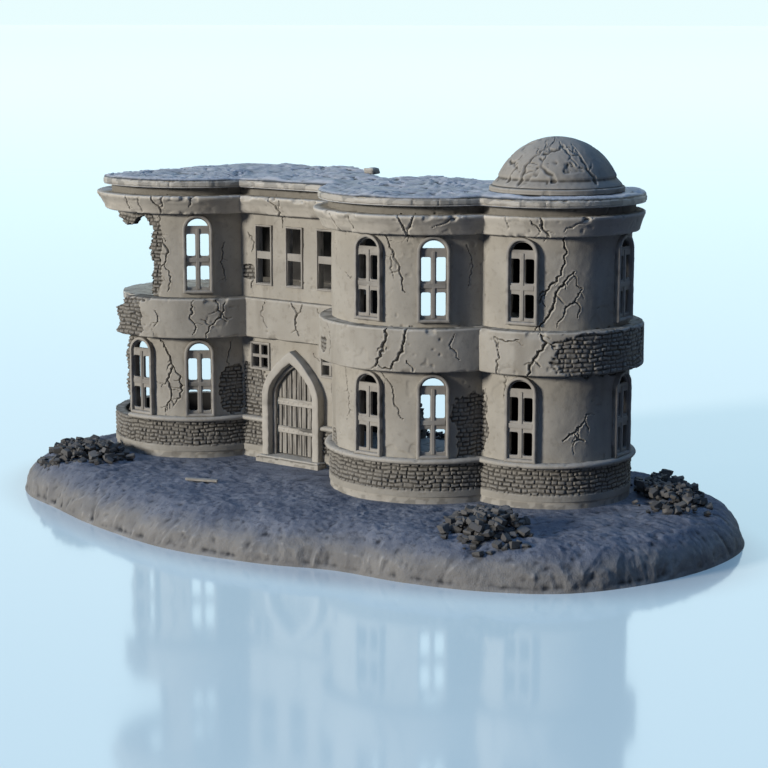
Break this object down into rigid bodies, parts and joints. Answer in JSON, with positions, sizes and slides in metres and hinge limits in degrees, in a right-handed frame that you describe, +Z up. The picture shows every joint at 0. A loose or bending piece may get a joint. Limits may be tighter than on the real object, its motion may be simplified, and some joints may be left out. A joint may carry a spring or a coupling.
{
  "type": "miniature terrain ruin",
  "caption": "Ruined town house with round bays, a domed corner tower and an arched plank door, on a rocky base, as tabletop game terrain with lift-off storeys.",
  "frame": {"origin": "centre of the rocky base's footprint, on the table", "axes": "+X to the right along the front, +Y to the back, +Z up"},
  "size_m": [0.3083, 0.1806, 0.1505],
  "materials": {
    "rock_ground": "matt painted rock",
    "rubble_stone": "matt painted rubble",
    "painted_timber": "matt painted wood grain",
    "brickwork": "matt painted brick",
    "trim_stone": "matt painted smooth stone",
    "window_frames": "matt painted",
    "pins": "plain steel",
    "roof_slate": "matt painted slate",
    "weathered_wall": "matt painted plaster with brown washes"
  },
  "bodies": {
    "base": {"terrain_base": "rock_ground", "foundation": "trim_stone", "doorstep": "trim_stone", "rubble_left": "rubble_stone", "rubble_front": "rubble_stone", "rubble_right": "rubble_stone", "rubble_rear": "rubble_stone", "plank_leaning": "painted_timber", "plank_lying": "painted_timber", "plinth_left_bay": "brickwork", "plinth_entrance": "brickwork", "plinth_middle_bay": "brickwork", "plinth_tower": "brickwork", "plinth_rear": "brickwork", "moulding_left_bay": "trim_stone", "moulding_entrance": "trim_stone", "moulding_middle_bay": "trim_stone", "moulding_tower": "trim_stone", "moulding_rear": "trim_stone", "ground_wall_left_bay": "weathered_wall", "ground_wall_entrance": "weathered_wall", "ground_wall_middle_bay": "weathered_wall", "ground_wall_tower": "weathered_wall", "ground_wall_rear": "weathered_wall", "ground_window_frames": "window_frames", "ground_window_sashes": "window_frames", "small_windows": "window_frames", "door_surround": "trim_stone", "door_inner_frame": "window_frames", "door_hinge_pins": "pins"},
    "door": {"door_leaf": "painted_timber", "door_battens": "painted_timber", "door_hinge_barrels": "pins"},
    "upper_storey": {"belt_left_bay": "weathered_wall", "belt_entrance": "weathered_wall", "belt_middle_bay": "weathered_wall", "belt_tower": "weathered_wall", "belt_rear": "weathered_wall", "upper_floor": "roof_slate", "tower_floor": "roof_slate", "upper_wall_left_bay": "weathered_wall", "upper_wall_entrance": "weathered_wall", "upper_wall_middle_bay": "weathered_wall", "upper_wall_tower": "weathered_wall", "upper_wall_rear": "weathered_wall", "upper_window_frames": "window_frames", "upper_window_sashes": "window_frames", "tall_windows": "window_frames", "cornice_left_bay": "weathered_wall", "cornice_entrance": "weathered_wall", "cornice_middle_bay": "weathered_wall", "cornice_tower": "weathered_wall", "cornice_rear": "weathered_wall", "upper_storey_pegs": "pins"},
    "roof": {"recessed_course": "weathered_wall", "roof_slab": "roof_slate", "parapet_stub": "roof_slate", "roof_pegs": "pins"},
    "dome": {"dome_ring": "weathered_wall", "dome_shell": "weathered_wall"}
  },
  "joints": [
    {"name": "door_swing", "type": "hinge", "parent": "base", "child": "door", "pos_m": [-0.0451, 0.004, 0.03], "axis": [0, 0, 1], "range_deg": [0, 95]},
    {"name": "upper_storey_lift", "type": "slide", "parent": "base", "child": "upper_storey", "axis": [0, 0, 1], "range_m": [0, 0.05]},
    {"name": "roof_lift", "type": "slide", "parent": "upper_storey", "child": "roof", "axis": [0, 0, 1], "range_m": [0, 0.05]},
    {"name": "dome_lift", "type": "slide", "parent": "roof", "child": "dome", "axis": [0, 0, 1], "range_m": [0, 0.04]}
  ]
}
